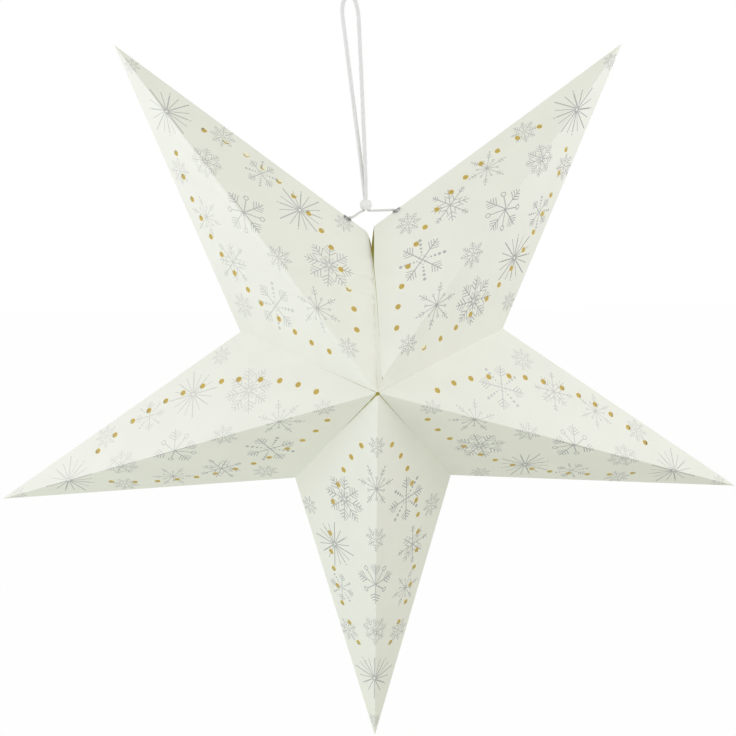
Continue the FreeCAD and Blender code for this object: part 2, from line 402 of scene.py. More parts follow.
def petal(start, middle, end, half_width, width):
    """The outline of a petal between two arms."""
    parts = []
    for side in (1, -1):
        parts += stroke(start, 0.0, middle, side * half_width, width)
        parts += stroke(middle, side * half_width, end, 0.0, width)
    return parts


# How many arms, the strokes of one arm, and those of the arm between two
ARMS = {
    "small": (8, stroke(0.06, 0, 1.0, 0, 0.042) + barbs([(0.36, 0.32), (0.56, 0.26), (0.75, 0.18)], 0.038), []),
    "lattice": (8, stroke(0.05, 0, 1.0, 0, 0.034) + barbs([(0.45, 0.36), (0.61, 0.29), (0.77, 0.20)], 0.034),
                petal(0.10, 0.24, 0.40, 0.065, 0.022)),
    "ringed": (4, stroke(0.0, 0, 1.0, 0, 0.044) + barbs([(0.48, 0.38), (0.62, 0.31), (0.76, 0.21)], 0.038),
               stroke(0.0, 0, 0.64, 0, 0.044) + ring(0.74, 0.115, 0.042)),
    "dotted": (4, stroke(0.0, 0, 1.0, 0, 0.046) + barbs([(0.50, 0.36), (0.64, 0.29), (0.78, 0.20)], 0.036)
               + stroke(0.16, -0.07, 0.16, 0.07, 0.035),
               dot(0.22, 0.028) + dot(0.36, 0.042) + dot(0.52, 0.054) + dot(0.70, 0.064) + dot(0.90, 0.072)),
    "fine": (6, stroke(0.0, 0, 0.97, 0, 0.032) + barbs([(0.62, 0.17), (0.76, 0.15)], 0.030) + dot(1.0, 0.035),
             stroke(0.0, 0, 0.46, 0, 0.030) + ring(0.52, 0.065, 0.030, 10)),
    "branched": (4, stroke(0.0, 0, 1.0, 0, 0.042) + barbs([(0.26, 0.26), (0.70, 0.16), (0.84, 0.14)], 0.036),
                 stroke(0.0, 0, 0.86, 0, 0.038) + barbs([(0.36, 0.30), (0.58, 0.24)], 0.034)),
    "burst": (4, ray(0, 1.0, 0.046) + ray(22.5, 0.84, 0.030) + ray(45, 0.86, 0.048, 0.03) + ray(67.5, 0.84, 0.030),
              []),
}


def flake_tree():
    """Repeats one arm, and a second kind of arm between, around the middle of a flake."""
    tree, given, out = geometry_tree("flake", {"Int": ["Arms"], "Object": ["Between"]})
    step = maths(tree, "DIVIDE", 2.0 * math.pi, given["Arms"])
    index = tree.nodes.new("GeometryNodeInputIndex").outputs[0]
    between = add_node(tree, "GeometryNodeObjectInfo", {"Object": given["Between"]}).outputs["Geometry"]
    join = tree.nodes.new("GeometryNodeJoinGeometry")
    for shape, shift in ((given["Geometry"], 0.0), (between, 0.5)):
        points = add_node(tree, "GeometryNodePoints", {"Count": given["Arms"]}).outputs[0]
        turn = maths(tree, "MULTIPLY", maths(tree, "ADD", index, shift), step)
        angles = add_node(tree, "ShaderNodeCombineXYZ", {2: turn}).outputs[0]
        rotation = add_node(tree, "FunctionNodeEulerToRotation", {0: angles}).outputs[0]
        arms = add_node(tree, "GeometryNodeInstanceOnPoints", {
            "Points": points, "Instance": shape, "Rotation": rotation})
        tree.links.new(arms.outputs[0], join.inputs[0])
    real = add_node(tree, "GeometryNodeRealizeInstances", {0: join.outputs[0]}).outputs[0]
    printed = add_node(tree, "GeometryNodeSetMaterial", {0: real, "Material": PRINTED_CARD}).outputs[0]
    tree.links.new(printed, out[0])
    return tree


def flake_shapes():
    """Each kind of flake as flat polygons, a unit in radius."""
    tree, shapes = flake_tree(), {}
    for kind, (count, arm, between) in ARMS.items():
        parts = []
        for bits in (arm, between):
            verts, faces = [], []
            for bit in bits:
                faces.append(list(range(len(verts), len(verts) + len(bit))))
                verts += [(p.x, p.y, 0.0) for p in bit]
            parts.append(mesh_piece(kind, verts, faces))
        flake = grown(parts[0], tree, {"Arms": count, "Between": parts[1]}, kind)
        points = [Vector(v.co[:2]) for v in flake.data.vertices]
        shapes[kind] = [[points[i] for i in polygon.vertices] for polygon in flake.data.polygons]
        for piece in (flake, *parts):
            drop(piece)
    bpy.data.node_groups.remove(tree)
    return shapes


# Where the flakes lie: along the ridge, across from it, kind, radius and turn. Two faces share the ridge row.
RIDGE_FLAKES = [
    (45.3, 0.0, "small", 9.2, 0.0), (81.2, 0.0, "fine", 18.5, 30.0), (128.0, 0.0, "small", 11.5, 0.0),
    (170.0, 0.0, "ringed", 19.6, 0.0), (218.5, 0.0, "lattice", 14.2, 0.0), (267.0, 0.0, "burst", 22.0, 0.0),
    (313.0, 0.0, "small", 7.6, 0.0),
]
FACE_FLAKES = {
    "a": [(129.2, 68.0, "small", 11.0, 0.0), (107.3, 35.3, "dotted", 20.3, 0.0), (156.0, 45.0, "branched", 18.4, 0.0),
          (195.0, 37.0, "fine", 15.8, 30.0), (233.8, 28.8, "small", 11.0, 0.0)],
    "b": [(131.3, 75.4, "small", 8.8, 0.0), (106.3, 35.2, "lattice", 20.6, 0.0), (155.4, 46.6, "burst", 21.6, 0.0),
          (194.5, 38.3, "dotted", 13.6, 0.0), (234.0, 30.6, "small", 11.0, 0.0)],
}
# The print isn't laid quite alike on each point, and each front card has its own ink weight, which paints how its
# silver ink reflects the room on that card
PRINT_SHIFTS = [-1.5, 0.0, 0.0, 0.0, -3.0]
INK_PAINTED_REFLECTION, BACK_INK = [0.9, 1.0, 0.64, 1.0, 1.0, 0.98, 0.95, 0.47, 0.52, 0.84], 0.9
# How much further out the last flake is printed on each point, and where such a flake starts
TIP_FLAKE_STEPS, TIP_FLAKE_FROM = [2.8, 0.8, 1.7, 3.2, -0.6], 300.0
# Where the eyelets are along their creases, right and left, and the notch round one as shares of the CAD one:
# along the crease and across from it
EYELETS_ALONG, NOTCH_SHARES = (21.0, 18.7), (0.67, 0.28)
# The disc that was never pushed out: its card, its place, and the width of its cut line, which is drawn as a thin
# dark ring of painted shade for the shadow in the slit
KEPT_DISC, KEPT_CUT_SHADE = ("bottom_front_b", 147.2, 51.8), 0.3
# Holes and print lie a little off the ideal star on each front face: steps x, z in the front view, at the tip and
# at the apex. The ridge rows have their own, one for each point.
FACE_DRIFTS = [
    ((2.3, 0.5), (2.1, -1.5)), ((1.2, 0.0), (0.5, 0.0)), ((1.1, -0.4), (-1.0, -0.6)), ((0.2, -0.8), (-0.2, -0.8)),
    ((-0.7, -0.6), (-0.1, -0.2)), ((-0.4, -0.2), (0.3, -0.7)), ((0.5, -0.2), (2.1, -0.1)), ((-0.2, 0.1), (1.8, -0.2)),
    ((0.2, -0.7), (2.4, -1.8)), ((0.2, -0.5), (1.5, -2.1)),
]
RIDGE_DRIFTS = [
    ((1.0, -0.5), (1.0, -0.7)), ((0.4, -1.0), (-1.0, -1.4)), ((-0.7, -0.8), (-0.3, -0.2)), ((0.2, -0.1), (2.1, -0.1)),
    ((-0.1, 1.5), (4.1, -1.3)),
]
# Edges of the cards beside the open seam, from the outline's corner to the apex, as x, z of the front view
SEAM_EDGES = {
    "top_left_front_b": [
        (-3.88, 109.7), (-2.44, 106.8), (-1.88, 103.1), (-1.59, 100.6), (-1.22, 98.1), (-0.7, 94.4), (-0.03, 90.8),
        (0.39, 86.9), (0.56, 83.0), (0.9, 77.6), (1.86, 60.1), (2.48, 39.8), (2.96, 25.4), (3.3, 13.0), (3.5, 9.2),
        (3.75, 5.9), (4.5, 3.6), (0.7, 0.6)],
    "top_right_front_a": [
        (2.83, 114.2), (1.95, 112.0), (1.87, 109.4), (1.73, 103.3), (1.41, 95.9), (1.13, 91.1), (0.93, 87.2),
        (0.98, 83.3), (1.21, 78.0), (2.1, 60.6), (2.71, 40.5), (3.18, 26.1), (3.44, 15.9), (3.9, 12.8)],
    "top_right_back_a": [
        (2.83, 114.2), (2.0, 113.2), (1.35, 108.7), (0.72, 100.0), (0.62, 97.0), (0.5, 60.0), (0.16, 3.0)],
    "top_left_back_b": [(-3.88, 109.7), (-1.2, 103.5), (0.15, 98.6), (0.42, 96.5), (0.35, 60.0), (0.02, 3.0)],
}
# How far each front card stops short of the apex, as a share of the CAD cut, whose corners lie this near the apex
APEX_CUTS, CUT_REACH = [1.0, 0.6, 0.8, 1.2, 1.4, 1.6, 1.4, 1.0, 0.5, 0.3], 3.0
# The ridge of the top right point is drawn towards the seam, by a pull that falls from RIDGE_PULL at the apex to
# nothing at PULL_END, and that only grows in up to PULL_START
RIDGE_PULL, PULL_START, PULL_END = 4.9, 17.0, 290.0
# How fast that pull falls off along the ridge and across the card
FALL_ALONG, FALL_ACROSS = 1.15, 1.5
RIDGE_STEPS = [PULL_START * i / 4.0 for i in (1, 2, 3)] + [PULL_START + 6.0 * i for i in range(60)]
# The CAD sheets keep a gap of this much along the back ridges
BACK_RIDGE_GAP = 1.7
# Where the seam cards end on their ridges: the back ones, the right front one and the left front one
RIDGE_ENDS = {"back": 2.9, "right": RIDGE_STEPS[2], "left": 0.8}
# Between these heights the left seam card bends in, to pass this far behind the right one down to the apex
OVERLAP_TOP, OVERLAP_FULL, OVERLAP_BEHIND = 100.0, 75.0, 0.6
# Discs that still hang from one side of their hole: place of the hole, how far each has slid, and which way, as a
# turn from the ridge towards the valley. Each lies this deep in the middle of its hole, and less so the way it slid.
DISC_DEPTH = 0.15
HUNG_DISCS = {
    "top_left_front_b": [
        ((241.0, 19.3), 3.9, 75.0), ((226.2, 29.8), 1.5, 65.0), ((210.4, 38.0), 1.4, 60.0),
        ((195.5, 43.6), 1.6, 100.0), ((180.3, 47.9), 2.4, 70.0), ((164.7, 50.7), 3.1, 60.0),
        ((147.2, 51.8), 3.9, 100.0), ((79.9, 35.8), 2.3, 60.0)],
    "top_right_front_b": [((50.0, 16.9), 1.7, -70.0), ((64.7, 27.5), 3.9, 20.0)],
}


def drift(face, s, on_ridge=False):
    """How far the photograph has a hole or a flake off its ideal place, on the flat face."""
    if face.side > 0:
        return Vector((0.0, 0.0))
    at_tip, at_apex = RIDGE_DRIFTS[face.number // 2] if on_ridge else FACE_DRIFTS[face.number]
    share = 1.0 - s / face.length
    off = [a + (b - a) * share for a, b in zip(at_tip, at_apex)]
    step = face.drawn(*off)
    if on_ridge:
        # The two faces of a ridge share these flakes, so both take the same step along it and opposite ones across
        other = Face(face.number ^ 1, face.side).drawn(*off)
        step = Vector(((step.x + other.x) / 2.0, (step.y - other.y) / 2.0))
    return step


def bent_ridge(face, outline):
    """The outline with places along its ridge where the card is drawn towards the seam."""
    if face.side > 0 or face.number > 1:
        return outline
    made = []
    for a, b in zip(outline, outline[1:] + outline[:1]):
        made.append(a)
        # Only the long edge along the ridge
        if max(a.y, b.y) < 0.05 and abs(a.x - b.x) > 20.0:
            steps = [s for s in RIDGE_STEPS if min(a.x, b.x) < s < max(a.x, b.x)]
            made += [Vector((s, 0.0)) for s in (steps if a.x < b.x else steps[::-1])]
    return made


def seam_outline(face, outline):
    """The outline with its edge beside the open seam laid as the photograph shows it, and its apex cut."""
    outline = [p * (APEX_CUTS[face.number] if p.length < CUT_REACH and face.side < 0 else 1.0) for p in outline]
    if face.side > 0:
        # The back ridges are glued shut, so their cards meet
        outline = [Vector((p.x, 0.0)) if p.y < BACK_RIDGE_GAP else p for p in outline]
    if face.name not in SEAM_EDGES:
        return bent_ridge(face, outline)
    edge = [face.drawn(x, z) for x, z in SEAM_EDGES[face.name]]
    first = min(range(len(outline)), key=lambda i: outline[i].length)
    around = outline[first:] + outline[:first]
    end = min(range(len(around)), key=lambda i: (around[i] - face.corner).length)
    if max(range(len(around)), key=lambda i: around[i].x) > end:
        around = around[:1] + around[:0:-1]
        end = len(around) - end
    rest = [p for p in around[:end] if p.length > CUT_REACH and (p - face.corner).length > 0.2]
    # The notch round the eyelet fits its barrel
    crease = (face.corner - Vector((face.length, 0.0))).normalized()
    across = Vector((crease.y, -crease.x))
    from_crease = [(p - face.corner).dot(across) for p in rest]
    along = [-(p - face.corner).dot(crease) for p in rest]
    near = [i for i in range(len(rest)) if 10.0 < along[i] < 30.0 and abs(from_crease[i]) < 6.0]
    middle = (along[near[0]] + along[near[-1]]) / 2.0
    for i in near:
        run = middle + (along[i] - middle) * NOTCH_SHARES[0]
        rest[i] = face.corner - crease * run + across * (from_crease[i] * NOTCH_SHARES[1])
    end = RIDGE_ENDS["back" if face.side > 0 else "right" if face.number == 0 else "left"]
    return bent_ridge(face, rest + edge + [Vector((end, 0.0))])


def seam_shift(face, s, u, spot):
    """How far a place on a card, in metres, is moved where the cards beside the open seam are drawn together."""
    shift = Vector((0.0, 0.0, 0.0))
    if face.side < 0 and face.number in (0, 1):
        edge = face.corner.y * min(s / face.corner.x, (face.length - s) / (face.length - face.corner.x))
        if edge > 0.01:
            pull = RIDGE_PULL * min(s / PULL_START, 1.0) * max(1.0 - s / PULL_END, 0.0) ** FALL_ALONG
            shift.x = -MM * pull * min(max(1.0 - u / edge, 0.0), 1.0) ** FALL_ACROSS
    elif face.side < 0 and face.number == FACES - 1:
        x, y, z = spot / MM - STAR_MIDDLE
        if x > 0.0:
            other = Face(0, -1)
            level = -HALF_DEPTH - (x * other.out.x + z * other.out.z) / other.out.y + OVERLAP_BEHIND
            share = min(max((OVERLAP_TOP - z) / (OVERLAP_TOP - OVERLAP_FULL), 0.0), 1.0)
            shift.y = MM * (level - y) * share
    return shift


def printed_flakes(face, shapes):
    """The flakes of one face in its own flat coordinates: middle, radius and polygons of each."""
    flakes = []
    mirror = 1.0 if face.number % 2 else -1.0
    tip = Vector((face.length, 0.0))
    for i, (s, u, kind, radius, turn) in enumerate(RIDGE_FLAKES + FACE_FLAKES["ab"[face.number % 2]]):
        on_ridge = i < len(RIDGE_FLAKES)
        seam = math.radians(SEAM_PRINT_TURN) if face.number in (0, FACES - 1) and not on_ridge else 0.0
        lay = Matrix.Rotation(-seam, 2) @ Matrix(((1.0, 0.0), (0.0, mirror)))
        lay = lay @ Matrix.Rotation(math.radians(turn), 2) * radius
        step = PRINT_SHIFTS[face.number // 2] + (TIP_FLAKE_STEPS[face.number // 2] if s > TIP_FLAKE_FROM else 0.0)
        middle = tip + Matrix.Rotation(-seam, 2) @ (Vector((s + step, u)) - tip)
        middle += drift(face, s, on_ridge)
        flakes.append((middle, radius, [[middle + lay @ p for p in part] for part in shapes[kind]]))
    return flakes


def round_points(centre, radius, count):
    turns = (2 * math.pi * i / count for i in range(count))
    return [centre + Vector((math.cos(a), math.sin(a))) * radius for a in turns]


def fold_round(distance, half_angle):
    """How far a fold's roundness moves a point inwards from the fold line, and how deep it sinks."""
    radius = FOLD_RADIUS
    run = radius / math.tan(half_angle)
    if distance >= run:
        return 0.0, 0.0
    a = (1.0 - max(distance, 0.0) / run) * (math.pi / 2.0 - half_angle)
    return run - radius * math.sin(a) - distance, radius * (1.0 - math.cos(a))


def grid_points(face, outline, pitch=8.0):
    """Places all over a card that is bent beside the seam, and along its ridge."""
    rows, ridge = [(0.0, 0.0)], []
    if face.side < 0 and face.number in (0, 1):
        long, wide = int(face.length / pitch), int(face.width / pitch)
        rows = [(i * pitch, j * pitch + 3.0) for i in range(1, long) for j in range(wide + 1)]
        folds = [i * FOLD_RADIUS / math.tan(RIDGE_HALF) / FOLD_STEPS for i in range(FOLD_STEPS + 1)]
        steps = [s for s in RIDGE_STEPS if s < face.length and (s >= RIDGE_STEPS[2] or face.number == 1)]
        ridge = [Vector((s, u)) for s in steps for u in folds]
    elif face.side < 0 and face.number == FACES - 1:
        # Where this card passes behind the right one
        rows = [(p.x, p.y) for p in (face.drawn(x, z) for x in (0.0, 1.2, 2.4) for z in range(2, 104, 3))]
    x, y = np.array(rows).T
    return [Vector((a, b)) for a, b in np.array(rows)[inside(outline, x, y)]] + ridge


def hung_discs(face, holes):
    """The discs that hang from a card: each one's hole, which way it has slid, and its outline."""
    discs = []
    for at, slide, turn in HUNG_DISCS.get(face.name, []):
        centre = min(holes, key=lambda c: (c - Vector(at)).length)
        way = Vector((math.cos(math.radians(turn)), math.sin(math.radians(turn))))
        discs.append((centre, way, round_points(centre + way * slide, HOLE_RADIUS, HOLE_SIDES)))
    return discs


def card_lines(face, outline, holes, discs, marks):
    """Every line that a flat card is cut along, as places and the edges between them."""
    verts, edges = grid_points(face, outline), []

    def draw(points, closed=True):
        first = len(verts)
        verts.extend(points)
        edges.extend((i, i + 1) for i in range(first, len(verts) - 1))
        if closed:
            edges.append((len(verts) - 1, first))

    draw(outline)
    for centre in holes:
        draw(round_points(centre, HOLE_RADIUS, HOLE_SIDES))
        for step in HOLE_RINGS:
            draw(round_points(centre, HOLE_RADIUS + step, RING_SIDES))
    for _, _, loop in discs:
        draw(loop)
    for i in range(1, FOLD_STEPS + 1):
        shift = Vector((0.0, i * FOLD_RADIUS / math.tan(RIDGE_HALF) / FOLD_STEPS))
        draw([shift, Vector((face.length, 0.0)) + shift], closed=False)
        shift = face.inwards * (i * FOLD_RADIUS / math.tan(CREASE_HALF) / FOLD_STEPS)
        draw([face.corner + shift, face.tip_corner + shift], closed=False)
    for part in marks:
        draw(part)
    return verts, edges


def triangles(verts, edges):
    """The flat places, the triangles between them and the middles of those."""
    points, _, cells, *_ = delaunay_2d_cdt(verts, edges, [], 0, 1e-5)
    flat, cells = np.array([p[:] for p in points]), np.array(cells)
    return flat, cells, *flat[cells].mean(axis=1).T


def sunk(face, spot, depth):
    """A place of the outer side, moved in to this depth towards the star's middle, so that neighbours meet."""
    middle, plane = STAR_MIDDLE * MM, (face.apex - STAR_MIDDLE).dot(face.out)
    return middle + (spot - middle) * ((plane - depth) / plane)


def bent_place(face, p, holes, discs):
    """Where a place on the flat card comes to lie, outside and inside, and how pale a hole makes the card there."""
    from_hole, nearest = min((((p - c).length - HOLE_RADIUS), i) for i, c in enumerate(holes))
    pale = 1.0 - min(max(from_hole, 0.0), 1.0) if from_hole > -0.05 else 0.25
    move, ridge_sink = fold_round(p.y, RIDGE_HALF)
    slip, crease_sink = fold_round((p - face.corner).dot(face.inwards), CREASE_HALF)
    q, depth = p + Vector((0.0, move)) + face.inwards * slip, max(ridge_sink, crease_sink)
    if from_hole < -0.02:
        way = next(way for c, way, _ in discs if (c - holes[nearest]).length < 0.1)
        depth = DISC_DEPTH * (1.0 - (p - holes[nearest]).dot(way) / HOLE_RADIUS)
    spot = face.place(p.x, p.y)
    shift = seam_shift(face, p.x, p.y, spot)
    lower = face.place(p.x, p.y, CARD) if from_hole < 0.05 else sunk(face, spot, CARD)
    return face.place(q.x, q.y, depth) + shift, lower + shift, pale


def closed_sheet(name, face, upper, lower, cells, material):
    """A sheet with these triangles on its outer and its inner side, and walls round every edge."""
    a, b, c = (np.array(upper)[cells[:, i]] for i in range(3))
    if np.sum(np.cross(b - a, c - a) @ np.array(face.out)) < 0:
        cells = cells[:, ::-1]
    faces, count = cells.tolist(), len(upper)
    sides = {(i, j) for ids in faces for i, j in zip(ids, ids[1:] + ids[:1])}
    walls = [[j, i, i + count, j + count] for i, j in sides if (j, i) not in sides]
    inner = [[i + count for i in reversed(ids)] for ids in faces]
    return mesh_piece(name, upper + lower, faces + inner + walls, material)


def star_card(face, shapes):
    """One printed and punched card: its outer side is cut along every printed edge, so the print is sharp."""
    loops = sorted(card_loops(face), key=lambda l: -abs(loop_area(l)))
    outline, holes = seam_outline(face, loops[0]), [sum(l, Vector((0.0, 0.0))) / len(l) for l in loops[1:]]
    holes = [c + drift(face, c.x) for c in holes]
    discs, flakes, cut_shade_lines = hung_discs(face, holes), printed_flakes(face, shapes), []
    # The kept disc's cut line is a thin dark ring of painted shade, standing for the shadow in its slit
    if face.name == KEPT_DISC[0]:
        cut_shade_ring = ring(0.0, HOLE_RADIUS, KEPT_CUT_SHADE, 24)[:-3]
        cut_shade_lines = [[p + Vector(KEPT_DISC[1:]) for p in part] for part in cut_shade_ring]
    marks = cut_shade_lines + [part for flake in flakes for part in flake[2]]
    flat, cells, x, y = triangles(*card_lines(face, outline, holes, discs, marks))
    punched = np.zeros(len(cells), dtype=bool)
    for centre in holes:
        punched |= inside(round_points(centre, HOLE_RADIUS, HOLE_SIDES), x, y)
    for _, _, loop in discs:
        punched &= ~inside(loop, x, y)
    kept = np.nonzero(inside(outline, x, y) & ~punched)[0]
    cells, x, y = cells[kept], x[kept], y[kept]
    ink, cut = np.zeros(len(cells)), np.zeros(len(cells))
    # Front cards take their own ink weight, a painted reflection of the silver ink; back cards take one plain weight
    strength = INK_PAINTED_REFLECTION[face.number] if face.side < 0 else BACK_INK
    for middle, radius, parts in flakes:
        near = np.nonzero((x - middle.x) ** 2 + (y - middle.y) ** 2 < (radius * 1.15) ** 2)[0]
        for part in parts:
            ink[near[inside(part, x[near], y[near])]] = strength
    # The cut mask carries that painted shade of the slit
    for part in cut_shade_lines:
        cut[inside(part, x, y)] = 1.0
    used, cells = np.unique(cells, return_inverse=True)
    upper, lower, fringe = (list(v) for v in zip(*(bent_place(face, Vector(flat[i]), holes, discs) for i in used)))
    piece = closed_sheet("card_" + face.name, face, upper, lower, cells.reshape(-1, 3), PRINTED_CARD)
    for name, kind, values in (("ink", "FACE", ink), ("cut", "FACE", cut), ("fringe", "POINT", fringe)):
        layer = piece.data.attributes.new(name, "FLOAT", kind)
        layer.data.foreach_set("value", np.concatenate([values, np.zeros(len(layer.data) - len(values))]))
    return piece


def drawn_lining(face):
    """The tissue inside a card that is drawn out of its CAD plane, or cut to another outline."""
    outline = seam_outline(face, max(card_loops(face), key=lambda l: abs(loop_area(l))))
    around = [(i, (i + 1) % len(outline)) for i in range(len(outline))]
    flat, cells, x, y = triangles(outline + grid_points(face, outline), around)
    layers = []
    for depth in (CARD, CARD + TISSUE_THICK):
        spots = [(p, face.place(*p)) for p in flat.tolist()]
        layers.append([sunk(face, spot, depth) + seam_shift(face, *p, spot) for p, spot in spots])
    return closed_sheet("tissue_" + face.name, face, *layers, cells[inside(outline, x, y)], TISSUE)


shapes = flake_shapes()
for number in range(FACES):
    for side in (-1, 1):
        face = Face(number, side)
        card = star_card(face, shapes)
        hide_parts(face.name)
        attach(card, face.name)
        # The left seam card keeps its CAD tissue
        if (side < 0 and number in (0, 1)) or (side > 0 and face.name in SEAM_EDGES):
            tissue = drawn_lining(face)
            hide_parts(face.name + "_lining")
            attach(tissue, face.name)
        else:
            dress(face.name + "_lining", TISSUE)


for name in nodes:
    if name.endswith("_flange"):
        dress(name, PLAIN_CARD)
    elif name.startswith(("eyelet", "washer")):
        dress(name, METAL)
    elif name.startswith("knot"):
        dress(name, TIE_YARN)


# Cords
LOOP_ROUTE = [
    (-4.2, 1.2, 128.1), (-4.7, 1.5, 138.0), (-19.6, 0.1, 262.0), (-21.4, 0.0, 276.5), (-18.8, 0.0, 285.4),
    (-11.9, 0.0, 285.4), (-8.8, -0.1, 275.0), (-8.2, -0.3, 262.0), (-4.3, -1.4, 160.0), (-4.3, -1.5, 138.0),
    (-4.2, -1.2, 128.1),
]


def spline(name, route):
    """The cord's own line: a smooth curve on the route's points."""
    curve = bpy.data.curves.new(name, "CURVE")
    curve.dimensions = "3D"
    line = curve.splines.new("NURBS")
    line.points.add(len(route) - 1)
    for point, place in zip(line.points, route):
        point.co = (*((Vector(place) + STAR_MIDDLE) * MM), 1.0)
    line.order_u = 3
    line.use_endpoint_u = True
    line.resolution_u = 24
    return placed(name, curve)


def line_points(curve):
    mesh = finished_mesh(curve)
    points = [v.co.copy() for v in mesh.vertices]
    bpy.data.meshes.remove(mesh)
    return points


def strand_tree():
    """Strands that wind round a line. A braid has half of them turning each way, over and under."""
    tree, given, out = geometry_tree("strands", {
        "Int": ["Strands", "Each way", "Every"], "Material": ["Yarn", "Second yarn"],
        "Float": ["Centre radius", "Weave", "Strand radius", "Turn length", "Step", "Core radius", "Squeezed"]})
    curve = add_node(tree, "GeometryNodeResampleCurve", {
        "Curve": given["Geometry"], "Length": given["Step"]}, mode="LENGTH").outputs[0]
    copies = add_node(tree, "GeometryNodeDuplicateElements", {
        "Geometry": curve, "Amount": given["Strands"]}, domain="SPLINE")
    which = add_node(tree, "GeometryNodeCaptureAttribute", {"Geometry": copies.outputs[0]}, domain="POINT")
    which.capture_items.new("INT", "which")
    tree.links.new(copies.outputs[1], which.inputs[1])
    copy = which.outputs[1]
    back = maths(tree, "GREATER_THAN", copy, maths(tree, "SUBTRACT", given["Each way"], 0.5))
    way = maths(tree, "MULTIPLY_ADD", back, -2.0, 1.0)
    parameter = add_node(tree, "GeometryNodeSplineParameter").outputs
    length = parameter["Length"]
    # Both ends are squeezed where they pass through the bead
    near_end = maths(tree, "MULTIPLY", maths(tree, "PINGPONG", parameter["Factor"], 0.5), 28.0, clamp=True)
    slack = maths(tree, "SUBTRACT", 1.0, given["Squeezed"])
    squeeze = maths(tree, "MULTIPLY_ADD", near_end, slack, given["Squeezed"])
    turn = maths(tree, "MULTIPLY", maths(tree, "DIVIDE", length, given["Turn length"]), 2.0 * math.pi)
    phase = maths(tree, "MULTIPLY", maths(tree, "DIVIDE", copy, given["Each way"]), 2.0 * math.pi)
    angle = maths(tree, "MULTIPLY_ADD", turn, way, phase)
    wave = maths(tree, "COSINE", maths(tree, "MULTIPLY", turn, given["Each way"]))
    radius = maths(tree, "MULTIPLY_ADD", maths(tree, "MULTIPLY", wave, way), given["Weave"], given["Centre radius"])
    radius = maths(tree, "MULTIPLY", radius, squeeze)
    tangent = tree.nodes.new("GeometryNodeInputTangent").outputs[0]
    normal = tree.nodes.new("GeometryNodeInputNormal").outputs[0]
    sideways = add_node(tree, "ShaderNodeVectorMath", {0: tangent, 1: normal}, operation="CROSS_PRODUCT").outputs[0]

    def reach(way, wave_kind):
        share = maths(tree, "MULTIPLY", radius, maths(tree, wave_kind, angle))
        return add_node(tree, "ShaderNodeVectorMath", {0: way, 3: share}, operation="SCALE").outputs[0]

    def swept(line, sides, size):
        profile = add_node(tree, "GeometryNodeCurvePrimitiveCircle", {"Resolution": sides, "Radius": given[size]})
        return add_node(tree, "GeometryNodeCurveToMesh", {
            "Curve": line, "Profile Curve": profile.outputs[0], "Fill Caps": True, "Scale": squeeze}).outputs[0]

    offset = add_node(tree, "ShaderNodeVectorMath", {
        0: reach(normal, "COSINE"), 1: reach(sideways, "SINE")}, operation="ADD").outputs[0]
    moved = add_node(tree, "GeometryNodeSetPosition", {"Geometry": which.outputs[0], "Offset": offset}).outputs[0]
    both = tree.nodes.new("GeometryNodeJoinGeometry")
    for part in (swept(moved, 6, "Strand radius"), swept(curve, 8, "Core radius")):
        tree.links.new(part, both.inputs[0])
    real = add_node(tree, "GeometryNodeRealizeInstances", {0: both.outputs[0]}).outputs[0]
    smooth = add_node(tree, "GeometryNodeSetShadeSmooth", {0: real}).outputs[0]
    plain = add_node(tree, "GeometryNodeSetMaterial", {0: smooth, "Material": given["Yarn"]}).outputs[0]
    second = maths(tree, "COMPARE", maths(tree, "MODULO", copy, given["Every"]), 0.0, 0.1)
    mixed_yarn = add_node(tree, "GeometryNodeSetMaterial", {
        0: plain, "Selection": second, "Material": given["Second yarn"]}).outputs[0]
    tree.links.new(mixed_yarn, out[0])
    return tree


strands = strand_tree()
line = spline("hanging_line", LOOP_ROUTE)
path = line_points(line)
loop = grown(line, strands, {
    "Strands": 8, "Each way": 4, "Centre radius": 0.86 * MM, "Weave": 0.15 * MM, "Strand radius": 0.60 * MM,
    "Turn length": 6.6 * MM, "Step": 0.25 * MM, "Every": 3, "Core radius": 0.70 * MM, "Squeezed": 0.72,
    "Yarn": WHITE_YARN, "Second yarn": SILVER_YARN}, "braided_loop")
drop(line)

# The bead: a ball cut flat at both ends, with rounded lips at its bore
BEAD_MIDDLE, BEAD_WIDE, BEAD_TALL, BEAD_POWER = Vector((-4.2, 0.0, 130.1)), 4.7, 4.75, 2.2
BORE, LIP, BEAD_SIDES, BEAD_STEPS = 2.7, 0.45, 48, 24


def round_bead():
    half = BEAD_TALL * (1.0 - ((BORE + LIP) / BEAD_WIDE) ** BEAD_POWER) ** (1.0 / BEAD_POWER)
    profile = []
    for i in range(BEAD_STEPS + 1):
        z = half * math.sin(math.pi * (i / BEAD_STEPS - 0.5))
        profile.append((BEAD_WIDE * (1.0 - (abs(z) / BEAD_TALL) ** BEAD_POWER) ** (1.0 / BEAD_POWER), z))
    turns = (math.pi / 8.0 * i for i in range(1, 5))
    lip = [(BORE + LIP - LIP * math.sin(a), half - LIP + LIP * math.cos(a)) for a in turns]
    profile += lip + [(r, -z) for r, z in reversed(lip)]
    verts, faces, count = [], [], len(profile)
    for i in range(BEAD_SIDES):
        a = 2.0 * math.pi * i / BEAD_SIDES
        spots = [Vector((r * math.cos(a), r * math.sin(a), z)) for r, z in profile]
        verts += [(spot + BEAD_MIDDLE + STAR_MIDDLE) * MM for spot in spots]
        for j in range(count):
            k, here, there = (j + 1) % count, i * count, (i + 1) % BEAD_SIDES * count
            faces.append((here + j, there + j, there + k, here + k))
    return mesh_piece("round_bead", verts, faces, BEAD, smooth=True)


def eyelet_place(number):
    """Where an eyelet crosses its crease: its place, outwards and towards the seam."""
    face = Face(number, -1)
    to_seam = (face.valley - face.tip).normalized()
    outwards = Vector((-to_seam.z, 0.0, to_seam.x))
    outwards = outwards if outwards.z > 0 else -outwards
    return face.valley - STAR_MIDDLE - to_seam * EYELETS_ALONG[0 if number == 0 else 1], outwards, to_seam


